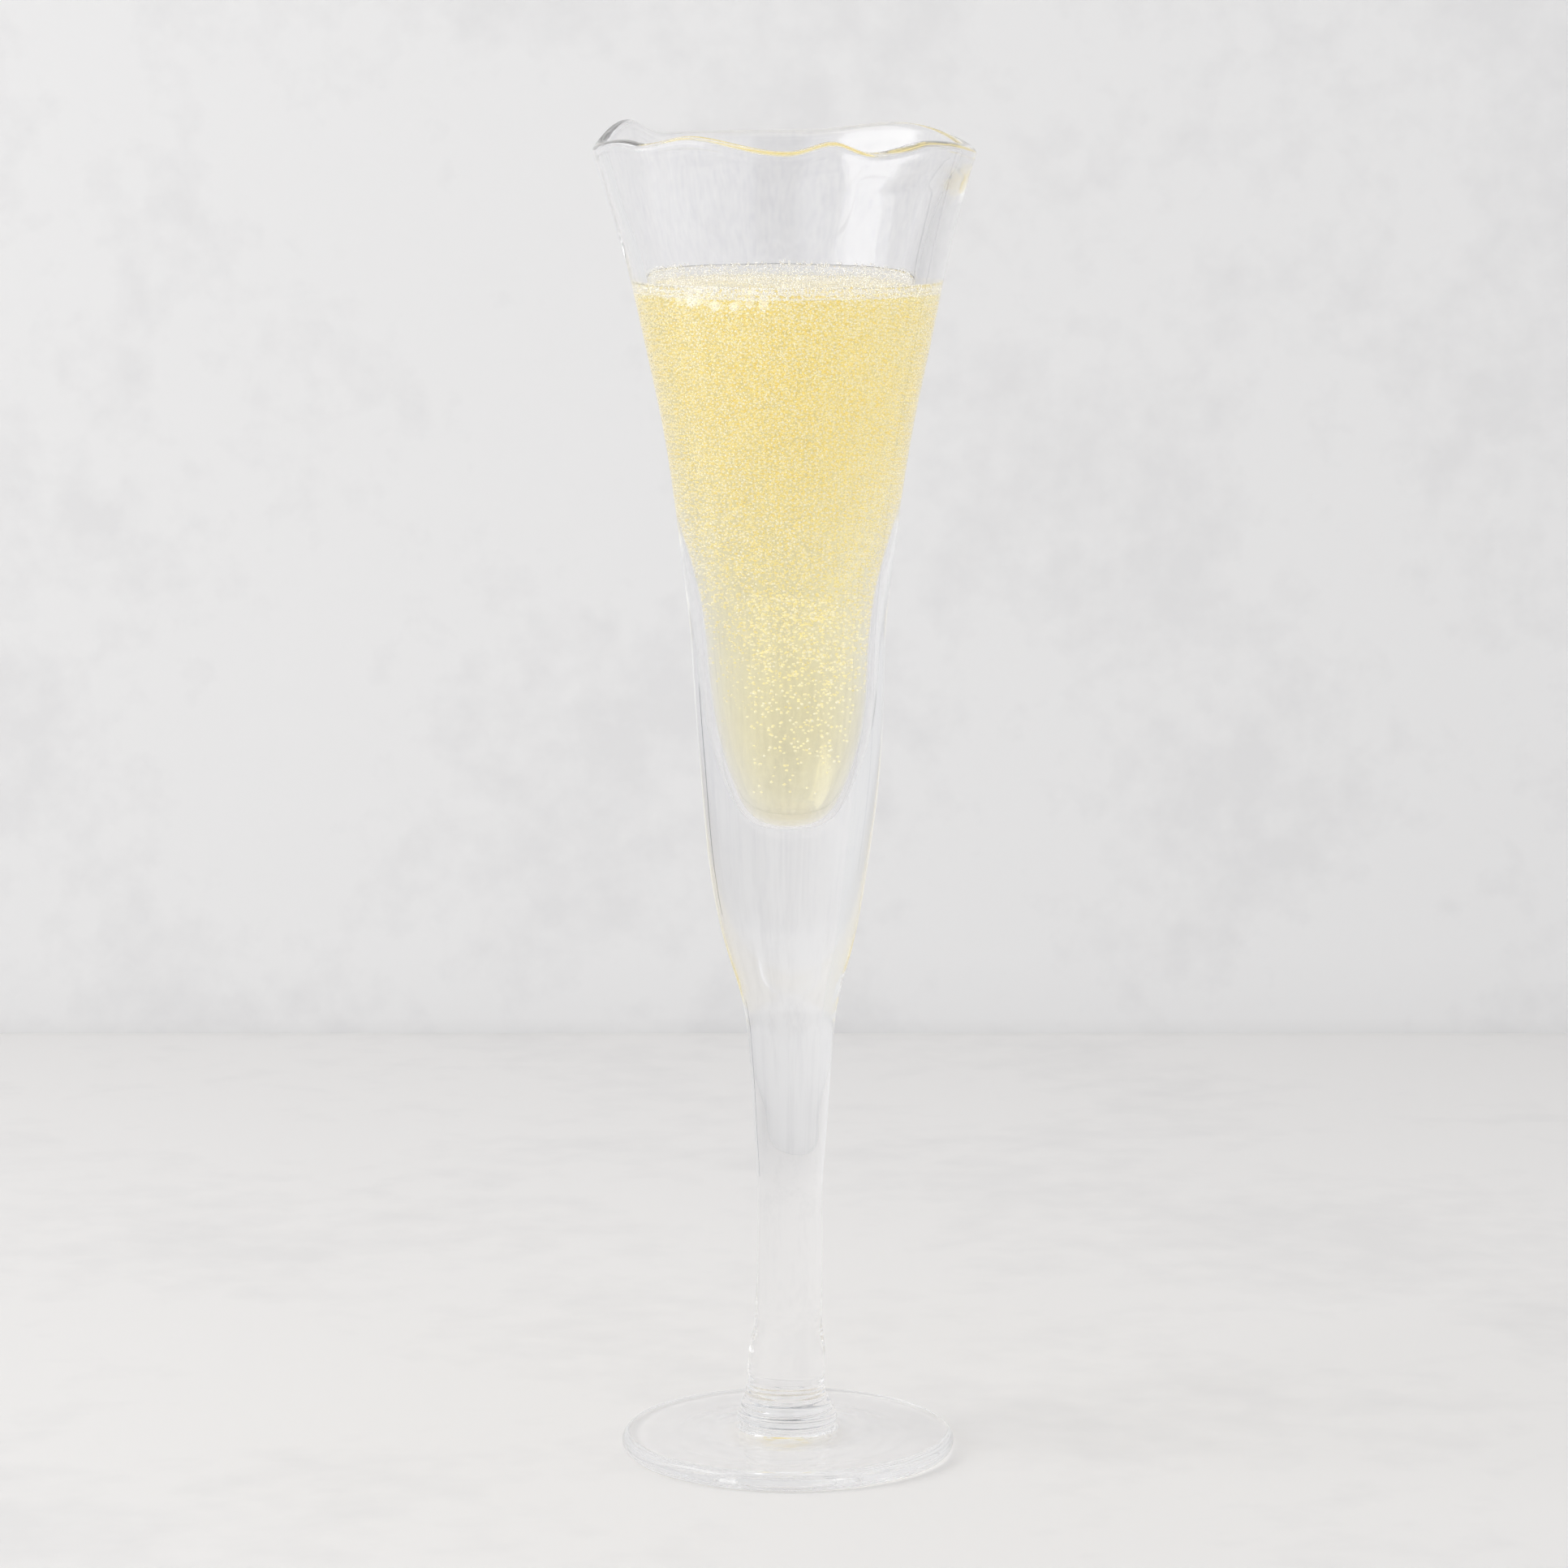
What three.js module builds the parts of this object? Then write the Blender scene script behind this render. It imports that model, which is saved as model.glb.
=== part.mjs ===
// A hand-made champagne flute, holding its drink. Millimetres, +Z up, origin on the table under the stem.
//
// The glass is made hot from separate gathers: a thick trumpet bowl with a solid heel and a ruffled
// lip, a solid stem, two wraps and a merese (a flat button of glass) below it, and a disc foot.
// The drink and its foam lie in the bowl.
import * as THREE from "three";

// Driving dimensions.
const HEIGHT = 250; // mean height of the lip
const FOOT_RADIUS = 31.8;
const FOOT_EDGE = 3.7; // thickness of the foot at its edge
const STEM_TOP = 88; // where the stem meets the heel of the bowl
const STEM_FOOT = 12.6; // where the stem meets the upper wrap
const LOWER_WRAP_TOP = 10.7;
const MERESE_TOP = 8.5;
const MERESE_FOOT = 5;
const CUP_FLOOR = 122; // lowest point of the hollow
const DRINK_TOP = 222.5;
const FOAM_TOP = 224.4;
const LIP_RADIUS = 35.4; // mean outer radius of the lip
const LIP_BEAD = 1.5; // radius of the fire-polished edge
const LIQUID_GAP = 0.3; // clearance between the drink and the wall
const FINE = 56; // segments round the wide pieces
const PLAIN = 40; // segments round the slim ones
const WALL_SIDES = 18; // straights along the bowl's inside

// The ruffle tooled into the lip: [angle from the front towards +X in degrees, rise of the edge in mm].
const RUFFLE = [
  [-138, 0.1],
  [-116, 3.0],
  [-90, -0.8],
  [-59, 0.8],
  [-48, 0.4],
  [-30, 2.0],
  [1, -0.5],
  [15, 1.2],
  [27, -0.9],
  [50, 0.8],
  [90, -1.1],
  [139, 2.0],
  [175, 0.2],
  [205, 0.1],
];
const RUFFLE_FOOT = 230; // the ruffle dies out in the wall at this height
const RUFFLE_FLARE = 0.35; // how far a dip leans outwards, as a share of its depth

const smooth = (t) => t * t * (3 - 2 * t);
const clamp01 = (t) => Math.min(1, Math.max(0, t));

// Rise of the lip's edge at an angle in degrees: smooth steps between the crests and dips.
function ruffleRise(degrees) {
  const first = RUFFLE[0][0];
  const angle = first + ((((degrees - first) % 360) + 360) % 360);
  const stations = [...RUFFLE, [first + 360, RUFFLE[0][1]]];
  const next = stations.findIndex(([at]) => at > angle);
  const [from, low] = stations[next - 1];
  const [to, high] = stations[next];
  return low + (high - low) * smooth((angle - from) / (to - from));
}

// Bends a turned piece to the ruffle: full at the lip, nothing at RUFFLE_FOOT and below.
function ruffle(geometry) {
  const place = geometry.getAttribute("position");
  for (let i = 0; i < place.count; i++) {
    const x = place.getX(i);
    const y = place.getY(i);
    const z = place.getZ(i);
    const radius = Math.hypot(x, y);
    const share = smooth(clamp01((z - RUFFLE_FOOT) / (HEIGHT - RUFFLE_FOOT)));
    if (share === 0 || radius === 0) continue;
    const degrees = THREE.MathUtils.radToDeg(Math.atan2(x, -y));
    const rise = share * ruffleRise(degrees);
    const stretch = (radius - RUFFLE_FLARE * rise) / radius;
    place.setXYZ(i, x * stretch, y * stretch, z + rise);
  }
  return geometry;
}

// Points along a smooth line through [radius, height] stations.
function smoothLine(stations, count) {
  const through = stations.map(([radius, height]) => new THREE.Vector2(radius, height));
  return new THREE.SplineCurve(through).getPoints(count);
}

// A quarter or more of a circle in the profile, from one angle to another in degrees.
function roundEdge(radius, height, size, from, to, steps) {
  const points = [];
  for (let i = 0; i <= steps; i++) {
    const angle = THREE.MathUtils.degToRad(from + ((to - from) * i) / steps);
    points.push(new THREE.Vector2(radius + size * Math.cos(angle), height + size * Math.sin(angle)));
  }
  return points;
}

// Turns a profile of [radius, height] round +Z. The profile runs counter-clockwise, seen with the
// radius to the right and the height up, and starts and ends on the axis unless it closes on itself.
function turned(profile, segments) {
  return new THREE.LatheGeometry(profile, segments).rotateX(Math.PI / 2);
}

const axisPoint = (height) => new THREE.Vector2(0, height);

// The bowl's outside from the heel to the lip, and its inside from the cup's floor to the lip.
const WALL_OUTSIDE = [
  [9.2, STEM_TOP],
  [11.5, 96.5],
  [13.3, 104],
  [15.1, 115],
  [16.8, 129],
  [18.0, 147],
  [19.2, 166],
  [20.7, 178],
  [24.2, 200],
  [28.4, 220],
  [32.0, 236],
  [34.3, 245],
  [LIP_RADIUS, HEIGHT - LIP_BEAD],
];
const WALL_INSIDE = [
  [4.2, CUP_FLOOR + 1.4],
  [6.9, CUP_FLOOR + 5.6],
  [9.0, CUP_FLOOR + 12],
  [10.7, CUP_FLOOR + 24],
  [11.5, 160],
  [12.7, 168],
  [15.1, 178],
  [19.0, 196],
  [22.6, 212],
  [25.3, FOAM_TOP],
  [28.2, 236],
  [31.0, 245],
];

function bowl() {
  const outside = smoothLine(WALL_OUTSIDE, 19);
  const lip = roundEdge(LIP_RADIUS - LIP_BEAD, HEIGHT - LIP_BEAD, LIP_BEAD, 35, 180, 4);
  const inside = smoothLine(WALL_INSIDE, WALL_SIDES).reverse();
  return ruffle(turned([axisPoint(STEM_TOP), ...outside, ...lip, ...inside, axisPoint(CUP_FLOOR)], FINE));
}

function stem() {
  const outside = smoothLine(
    [
      [7.4, STEM_FOOT],
      [7.3, 18.5],
      [6.6, 23.5],
      [6.25, 30],
      [6.2, 45],
      [6.4, 55],
      [7.3, 69],
      [8.0, 80],
      [9.2, STEM_TOP],
    ],
    16,
  );
  return turned([axisPoint(STEM_FOOT), ...outside, axisPoint(STEM_TOP)], PLAIN);
}

// A ring of glass with a rounded side, filled to the axis: the wraps and the merese.
function button(low, high, neck, girth, shoulder) {
  const middle = (low + high) / 2;
  const side = smoothLine([[neck, low], [girth, middle], [shoulder, high]], 6);
  return turned([axisPoint(low), ...side, axisPoint(high)], PLAIN);
}

// The disc foot: a flat ring to stand on, a shallow kick under the middle, and a top that rises in
// a soft step towards the merese.
function foot() {
  const restInner = 22;
  const edge = FOOT_EDGE / 2 - 0.15;
  const kick = 0.9;
  const underside = [axisPoint(kick), new THREE.Vector2(10, 0.8 * kick), new THREE.Vector2(17, 0.35 * kick)];
  const rest = [new THREE.Vector2(restInner, 0), new THREE.Vector2(FOOT_RADIUS - 1.5 * edge, 0)];
  const lowerEdge = roundEdge(FOOT_RADIUS - edge, edge, edge, -60, 0, 3);
  const upperEdge = roundEdge(FOOT_RADIUS - edge, FOOT_EDGE - edge, edge, 0, 90, 3);
  const top = [
    new THREE.Vector2(19, FOOT_EDGE + 0.25),
    new THREE.Vector2(15.5, FOOT_EDGE + 0.6),
    new THREE.Vector2(11, FOOT_EDGE + 0.9),
    new THREE.Vector2(9, MERESE_FOOT),
  ];
  const profile = [...underside, ...rest, ...lowerEdge, ...upperEdge, ...top, axisPoint(MERESE_FOOT)];
  return turned(profile, FINE);
}

// The wall's inside up to the foam, moved off the wall by the clearance.
const WETTED_WALL = smoothLine(WALL_INSIDE, WALL_SIDES)
  .map((point) => new THREE.Vector2(point.x - LIQUID_GAP, point.y + LIQUID_GAP))
  .filter((point) => point.y < FOAM_TOP - 1);

// Radius of the liquid at a height above the last point of the wetted wall.
function liquidRadius(height) {
  const [before, last] = WETTED_WALL.slice(-2);
  return last.x + ((last.x - before.x) * (height - last.y)) / (last.y - before.y);
}

function drink() {
  const side = WETTED_WALL.filter((point) => point.y < DRINK_TOP);
  const brim = new THREE.Vector2(liquidRadius(DRINK_TOP), DRINK_TOP);
  return turned([axisPoint(CUP_FLOOR + LIQUID_GAP), ...side, brim, axisPoint(DRINK_TOP)], PLAIN);
}

// A layer of bubbles that climbs the wall a little.
function foam() {
  const low = new THREE.Vector2(liquidRadius(DRINK_TOP), DRINK_TOP);
  const high = new THREE.Vector2(liquidRadius(FOAM_TOP), FOAM_TOP);
  const crown = new THREE.Vector2(0.8 * high.x, FOAM_TOP - 0.6);
  return turned([axisPoint(DRINK_TOP), low, high, crown, axisPoint(FOAM_TOP - 0.8)], PLAIN);
}

const clearGlass = new THREE.MeshStandardMaterial({
  color: 0xf4f7f8,
  roughness: 0.02,
  metalness: 0,
  transparent: true,
  opacity: 0.3,
});
const sparklingWine = new THREE.MeshStandardMaterial({
  color: 0xf0d98a,
  roughness: 0.05,
  metalness: 0,
  transparent: true,
  opacity: 0.75,
});
const froth = new THREE.MeshStandardMaterial({ color: 0xf6f2e4, roughness: 0.6, metalness: 0 });

const flute = new THREE.Group();
function add(name, geometry, material) {
  const mesh = new THREE.Mesh(geometry, material);
  mesh.name = name;
  flute.add(mesh);
}

add("bowl", bowl(), clearGlass);
add("stem", stem(), clearGlass);
add("upper_wrap", button(LOWER_WRAP_TOP, STEM_FOOT, 7.9, 8.1, 7.5), clearGlass);
add("lower_wrap", button(MERESE_TOP, LOWER_WRAP_TOP, 8.9, 9.0, 8.1), clearGlass);
add("merese", button(MERESE_FOOT, MERESE_TOP, 8.9, 9.9, 9.0), clearGlass);
add("foot", foot(), clearGlass);
add("drink", drink(), sparklingWine);
add("foam", foam(), froth);

export default flute;
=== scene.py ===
"""A hand-made champagne flute with a sparkling drink in it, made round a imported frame.

Laid out as an add-on and run as a script: each operator makes one piece or one group of like
pieces, and the panel lists them in the order that main() calls them.
"""

import math

import bpy
import numpy as np
from bpy.props import FloatProperty, FloatVectorProperty, IntProperty, PointerProperty
from bpy.types import Operator, Panel, PropertyGroup
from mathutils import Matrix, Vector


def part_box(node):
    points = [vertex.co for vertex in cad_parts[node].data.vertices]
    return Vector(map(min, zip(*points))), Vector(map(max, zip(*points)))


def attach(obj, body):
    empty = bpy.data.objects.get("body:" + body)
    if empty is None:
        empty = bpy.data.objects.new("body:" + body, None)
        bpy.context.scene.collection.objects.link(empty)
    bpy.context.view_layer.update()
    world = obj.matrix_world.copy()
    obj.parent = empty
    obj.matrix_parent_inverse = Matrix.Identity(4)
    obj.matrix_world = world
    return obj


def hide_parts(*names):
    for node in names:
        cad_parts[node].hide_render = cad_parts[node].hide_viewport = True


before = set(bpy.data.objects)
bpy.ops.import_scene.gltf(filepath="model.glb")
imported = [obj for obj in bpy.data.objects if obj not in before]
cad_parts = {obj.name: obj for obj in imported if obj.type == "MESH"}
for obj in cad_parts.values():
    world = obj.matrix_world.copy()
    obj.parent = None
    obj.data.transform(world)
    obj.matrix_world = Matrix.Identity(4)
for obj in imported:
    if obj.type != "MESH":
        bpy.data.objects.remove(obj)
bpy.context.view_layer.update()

bl_info = {
    "name": "Champagne flute",
    "version": (1, 0, 0),
    "blender": (4, 5, 0),
    "location": "View3D > Sidebar > Flute",
    "description": "Makes a hand-made champagne flute and its sparkling drink",
    "category": "Add Mesh",
}

MM = 0.001
BODY = "root"
GLASS_NODES = ("bowl", "stem", "upper_wrap", "lower_wrap", "merese", "foot")

# Where the frame puts things.
BOX = {name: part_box(name) for name in (*GLASS_NODES, "drink", "foam")}
FOOT_RADIUS = BOX["foot"][1].x
HEEL = BOX["bowl"][0].z  # where the stem meets the bowl
LIQUID_GAP = 0.3 * MM  # the clearance that the frame keeps round the drink
CUP_FLOOR = BOX["drink"][0].z - LIQUID_GAP
DRINK_TOP = BOX["foam"][0].z
FOAM_TOP = BOX["foam"][1].z

# Heights above the table and radii of the glass, in millimetres, on a flute whose lip stands at 250.
NOMINAL_LIP = 250
FOOT_KICK = 0.9  # rise of the underside in the middle
FOOT_HALF = 1.84  # half the thickness of the edge
FOOT_TOP = [
    (3.8, 24),
    (3.9, 20),
    (4.02, 17.5),
    (4.22, 15.5),
    (4.36, 13),
    (4.52, 10.5),
    (4.66, 9.4),
    (4.85, 8.95),
]
COLLAR_OUTLINE = [
    (5.05, 8.95),
    (5.4, 9.3),
    (6.0, 9.5),
    (6.8, 9.48),
    (7.6, 9.22),
    (8.2, 8.86),
    (8.6, 8.72),
    (9.1, 8.62),
    (9.9, 8.28),
    (10.5, 7.94),
    (10.9, 7.82),
    (11.4, 7.76),
    (12.1, 7.58),
    (12.9, 7.42),
    (13.5, 7.4),
]
STEM_OUTLINE = [
    (14, 7.4),
    (18.8, 7.3),
    (23.5, 6.65),
    (29, 6.35),
    (36, 6.25),
    (43, 6.2),
    (49.5, 6.15),
    (56, 6.45),
    (63, 6.95),
    (71.2, 7.45),
    (79.2, 8.0),
    (84, 8.45),
    (89.5, 9.55),
    (95.3, 11.25),
    (103.4, 13.3),
    (111.3, 14.7),
    (124.9, 16.4),
    (134, 17.2),
    (147.6, 18.0),
    (156.7, 18.4),
    (165.8, 19.25),
    (178.1, 20.75),
    (188.7, 22.2),
    (199.2, 24.0),
    (209.6, 26.2),
    (224.7, 29.4),
    (235.6, 31.95),
    (243, 33.8),
]

# The hollow's side: height above its floor and radius, in millimetres.
CUP_OUTLINE = [
    (0, 1.6),
    (0.5, 3.6),
    (2.2, 5.5),
    (6.4, 7.4),
    (12, 9.0),
    (25, 10.9),
    (35, 11.45),
    (44, 12.4),
    (54, 14.4),
    (66, 17.4),
    (78, 20.1),
    (91, 22.9),
    (103, 25.5),
    (114, 28.4),
    (120.5, 30.2),
]

# The ruffle tooled into the lip: angle from the front towards +X in degrees, and rise in mm.
RUFFLE = [
    (-138, 0.1),
    (-116, 3.0),
    (-90, -0.8),
    (-59, 0.8),
    (-48, 0.4),
    (-30, 2.0),
    (1, -0.5),
    (15, 1.2),
    (27, -0.9),
    (50, 0.8),
    (90, -1.1),
    (139, 2.0),
    (175, 0.2),
    (205, 0.1),
]
RUFFLE_FOOT = 230 * MM  # the ruffle dies out in the wall at this height
RUFFLE_FLARE = 0.35  # how far a dip leans outwards, as a share of its depth
SAG = 0.12 * MM  # how far the bowl is out of round

# How far the glass wanders off its axis towards +X, and how far the hollow is off the glass: height
# and distance in millimetres.
DRIFT = [(0, 0), (5, -0.05), (9, -0.3), (20, -0.1), (50, 0.4), (88, 0.45), (112, 0.1)]
DRIFT += [(130, 0.4), (152, 0.1), (200, 0), (228, -0.25), (250, -0.8)]
HOLLOW_DRIFT = [(120, -0.1), (150, 0), (190, -0.3), (225, -0.8), (240, -0.6), (247, -0.1), (253, 0)]

# Dents left low on the stem by the tool that drew it out: side in degrees from the front towards
# +X, height, reach, pitch and depth in millimetres.
TOOL_MARKS = [
    (-95, 21.5, 5.0, 3.1, 0.16),
    (88, 28.5, 5.0, 2.3, 0.10),
    (10, 17.0, 3.0, 2.7, 0.05),
]

# Upright cards that light the glass: name, middle in plan, turn in degrees, width, lower and upper
# edge, and glow, in metres. The first two are the soft sides of the room and the third a window.
CARDS = [
    ("rear_card", (-0.3075, 0.2575), 54, 0.33, (0.002, 0.62), 0.79),
    ("left_card", (-0.42, -0.175), 90, 0.58, (0.002, 0.62), 1.12),
    ("window_card", (-0.36, -0.09), 104, 0.38, (0.23, 0.6), 3.0),
]
DUSK_TOWARDS = (0.03, -0.914, 0.405)  # the dim part of the room, behind the camera and above it

# Rows of points along each part of the glass.
KICK_ROWS, FOOT_EDGE_ROWS, FOOT_TOP_ROWS = 24, 30, 60
COLLAR_ROWS, STEM_ROWS, CUP_ROWS = 64, 200, 130

# ---------------------------------------------------------------------------------------------
# Shapes


def smooth_curve(stations, count, ease=1):
    """Points along a natural cubic spline through the stations, one row each.

    An ease over 1 sets the points closer together at the start.
    """
    knots = np.asarray(stations, float)
    steps = np.linalg.norm(np.diff(knots, axis=0), axis=1)
    reach = np.concatenate(([0.0], np.cumsum(steps)))
    last = len(knots) - 1
    system = np.eye(len(knots))
    slopes = np.zeros_like(knots)
    for i in range(1, last):
        system[i, i - 1 : i + 2] = steps[i - 1], 2 * (steps[i - 1] + steps[i]), steps[i]
        after = (knots[i + 1] - knots[i]) / steps[i]
        before = (knots[i] - knots[i - 1]) / steps[i - 1]
        slopes[i] = 6 * (after - before)
    bends = np.linalg.solve(system, slopes)
    at = np.linspace(0, 1, count) ** ease * reach[-1]
    i = np.clip(np.searchsorted(reach, at, side="right") - 1, 0, last - 1)
    step = steps[i]
    a = ((reach[i + 1] - at) / step)[:, None]
    b = 1 - a
    bow = ((a**3 - a) * bends[i] + (b**3 - b) * bends[i + 1]) * (step**2)[:, None] / 6
    return a * knots[i] + b * knots[i + 1] + bow


def smooth_step(share):
    share = np.clip(share, 0, 1)
    return share * share * (3 - 2 * share)


def along(stations, height):
    """The value at a height in metres of a smooth line through (height, value) stations in mm."""
    curve = smooth_curve(stations, 40 * len(stations))
    return np.interp(height, curve[:, 0] * MM, curve[:, 1] * MM)


def arc(radius, height, wide, tall, start, end, count):
    """Part of an ellipse round (radius, height), from one angle to another in degrees."""
    angles = np.radians(np.linspace(start, end, count))
    return np.column_stack((radius + wide * np.cos(angles), height + tall * np.sin(angles)))


def ruffle_rise(angle):
    """Rise of the lip at angles in radians, from the front towards +X."""
    first = RUFFLE[0][0]
    degrees = first + np.mod(np.degrees(angle) - first, 360)
    at = np.array([station[0] for station in RUFFLE] + [first + 360], float)
    rise = np.array([station[1] for station in RUFFLE] + [RUFFLE[0][1]], float)
    i = np.clip(np.searchsorted(at, degrees, side="right") - 1, 0, len(RUFFLE) - 1)
    share = smooth_step((degrees - at[i]) / (at[i + 1] - at[i]))
    return (rise[i] + (rise[i + 1] - rise[i]) * share) * MM


def tool_marks(angle, height):
    """Depth in metres of the small dents low on the stem."""
    spread = 0.8  # of a dent round the stem, in radians
    marks = 0
    for side, low, reach, pitch, depth in TOOL_MARKS:
        turn = np.angle(np.exp(1j * (angle - math.radians(side))))
        near = np.exp(-((turn / spread) ** 2) - ((height / MM - low) / reach) ** 2)
        marks = marks + depth * near * np.sin(2 * math.pi * height / MM / pitch + 2 * turn)
    return marks * MM


def blown(points, hollow):
    """Takes turned points to where hot working left them. hollow is 1 on the cup's side, else 0."""
    x, y, z = points.T
    radius = np.hypot(x, y)
    angle = np.arctan2(x, -y)
    share = smooth_step((z - RUFFLE_FOOT) / (NOMINAL_LIP * MM - RUFFLE_FOOT))
    rise = share * ruffle_rise(angle)
    sag = SAG * np.sin(2 * angle + 0.9) * smooth_step((z - HEEL) / (60 * MM))
    moved = radius - RUFFLE_FLARE * rise + sag + tool_marks(angle, z)
    moved = np.where(radius > 0, np.maximum(moved, 0.2 * radius), 0)
    shift = along(DRIFT, z) + hollow * along(HOLLOW_DRIFT, z)
    return np.column_stack((np.sin(angle) * moved + shift, -np.cos(angle) * moved, z + rise))


def turned(name, outline, segments, hollow_from):
    """Turns an outline of (radius, height) round +Z, closed wherever it ends on the axis.

    Points from hollow_from on lie on the cup's side of the glass.
    """
    angles = np.linspace(0, 2 * math.pi, segments, endpoint=False)
    around = np.column_stack((np.sin(angles), -np.cos(angles)))
    points, hollow, rows = [], [], []
    for i, (radius, height) in enumerate(outline):
        ring = around if radius > 0 else [(0, 0)]
        rows.append((len(points), len(ring)))
        points += [(radius * x, radius * y, height) for x, y in ring]
        hollow += [float(i >= hollow_from)] * len(ring)
    faces = []
    for (low, low_size), (high, high_size) in zip(rows, rows[1:]):
        for i in range(segments):
            j = (i + 1) % segments
            below = [low + i % low_size, low + j % low_size]
            above = [high + j % high_size, high + i % high_size]
            faces.append(tuple(dict.fromkeys(below + above)))
    mesh = bpy.data.meshes.new(name)
    mesh.from_pydata(blown(np.array(points), np.array(hollow)).tolist(), [], faces)
    mesh.update()
    mesh.shade_smooth()
    return mesh


def placed(name, mesh, material):
    """Puts a finished mesh in the scene as a piece of one material."""
    mesh.materials.clear()
    mesh.materials.append(material)
    piece = bpy.data.objects.new(name, mesh)
    bpy.context.scene.collection.objects.link(piece)
    return piece


def foot_outline():
    """The underside, the rounded edge and the stepped top of the foot."""
    kick = FOOT_KICK * MM
    half = FOOT_HALF * MM
    ring_in, ring_out = 0.69 * FOOT_RADIUS, 0.95 * FOOT_RADIUS
    rise = [(0.4 * MM, kick), (10 * MM, 0.78 * kick), (17 * MM, 0.3 * kick), (ring_in, 0)]
    under = smooth_curve(rise, KICK_ROWS)
    flat = np.linspace((ring_in + MM, 0), (ring_out, 0), 6)
    edge = arc(ring_out, half, FOOT_RADIUS - ring_out, half, -90, 90, FOOT_EDGE_ROWS)[1:]
    steps = [(radius * MM, height * MM) for height, radius in FOOT_TOP]
    top = smooth_curve([(ring_out - 0.8 * MM, 3.7 * MM), *steps], FOOT_TOP_ROWS)
    return np.vstack(([(0, kick)], under, flat, edge, top))


def outer_outline():
    """Foot, collar and stem, up to where the lip begins."""
    sides = [
        smooth_curve([(radius * MM, height * MM) for height, radius in stations], rows)
        for stations, rows in ((COLLAR_OUTLINE, COLLAR_ROWS), (STEM_OUTLINE, STEM_ROWS))
    ]
    return np.vstack((foot_outline(), *sides))


def cling_surface(name, outline, crowd):
    """A turned surface just off the cup for beads to cling to.

    crowd(x, y, z) says how thickly, from 0 to 1, at places in metres.
    """
    mesh = turned(name, outline, 128, 0)
    places = np.array([vertex.co for vertex in mesh.vertices])
    thick = np.clip(crowd(*places.T), 0, 1)
    mesh.attributes.new("crowd", "FLOAT", "POINT").data.foreach_set("value", thick)
    return mesh


def cup_outline(count):
    """The hollow's side from its floor up to just below the lip, closest rows at the floor."""
    stations = [(radius * MM, CUP_FLOOR + height * MM) for height, radius in CUP_OUTLINE]
    return smooth_curve(stations, count, 1.5)


def lip_outline(settings):
    """The fire-polished edge: up the outside, over the bead and down to the cup's side."""
    bead = settings.bead / 2
    top = NOMINAL_LIP * MM
    outside = settings.lip_radius
    below = [(34.2 * MM, 244.6 * MM), (34.75 * MM, 246.4 * MM)]
    rise = smooth_curve([*below, (outside, top - bead)], 12)
    over = arc(outside - bead, top - bead, bead, bead, 12, 176, 26)
    fall = [(outside - 2 * bead - 0.45 * MM, top - bead - 1.5 * MM)]
    return np.vstack((rise, over, fall))


# ---------------------------------------------------------------------------------------------
# Materials

WINE_IOR = 1.34
FILM_IOR = 1.33


class Nodes:
    """Shorthand for filling a node tree."""

    def __init__(self, tree):
        self.tree = tree

    def add(self, kind, inputs=None, **settings):
        node = self.tree.nodes.new(kind)
        for name, value in settings.items():
            setattr(node, name, value)
        for name, value in (inputs or {}).items():
            if isinstance(value, bpy.types.NodeSocket):
                self.tree.links.new(value, node.inputs[name])
            else:
                node.inputs[name].default_value = value
        return node

    def times(self, one, other):
        return self.add("ShaderNodeMath", {0: one, 1: other}, operation="MULTIPLY").outputs[0]

    def chance(self, low, high, seed):
        """A random number between two others, another for each point."""
        node = self.add("FunctionNodeRandomValue", data_type="FLOAT")
        for name, value in (("Min", low), ("Max", high), ("Seed", seed)):
            socket = [s for s in node.inputs if s.name == name and s.enabled][0]
            if isinstance(value, bpy.types.NodeSocket):
                self.tree.links.new(value, socket)
            else:
                socket.default_value = value
        return [s for s in node.outputs if s.enabled][0]

    def ramp(self, factor, start, end):
        """A blend between two (position, colour) ends."""
        node = self.add("ShaderNodeValToRGB", {"Fac": factor})
        for element, (position, colour) in zip(node.color_ramp.elements, (start, end)):
            element.position = position
            element.color = (*colour, 1)
        return node.outputs["Color"]


def new_material(name):
    """A material with a Principled surface, and the shorthand to fill its tree."""
    material = bpy.data.materials.new(name)
    material.use_nodes = True
    nodes = Nodes(material.node_tree)
    surface = material.node_tree.nodes["Principled BSDF"]
    return material, nodes, surface


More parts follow.
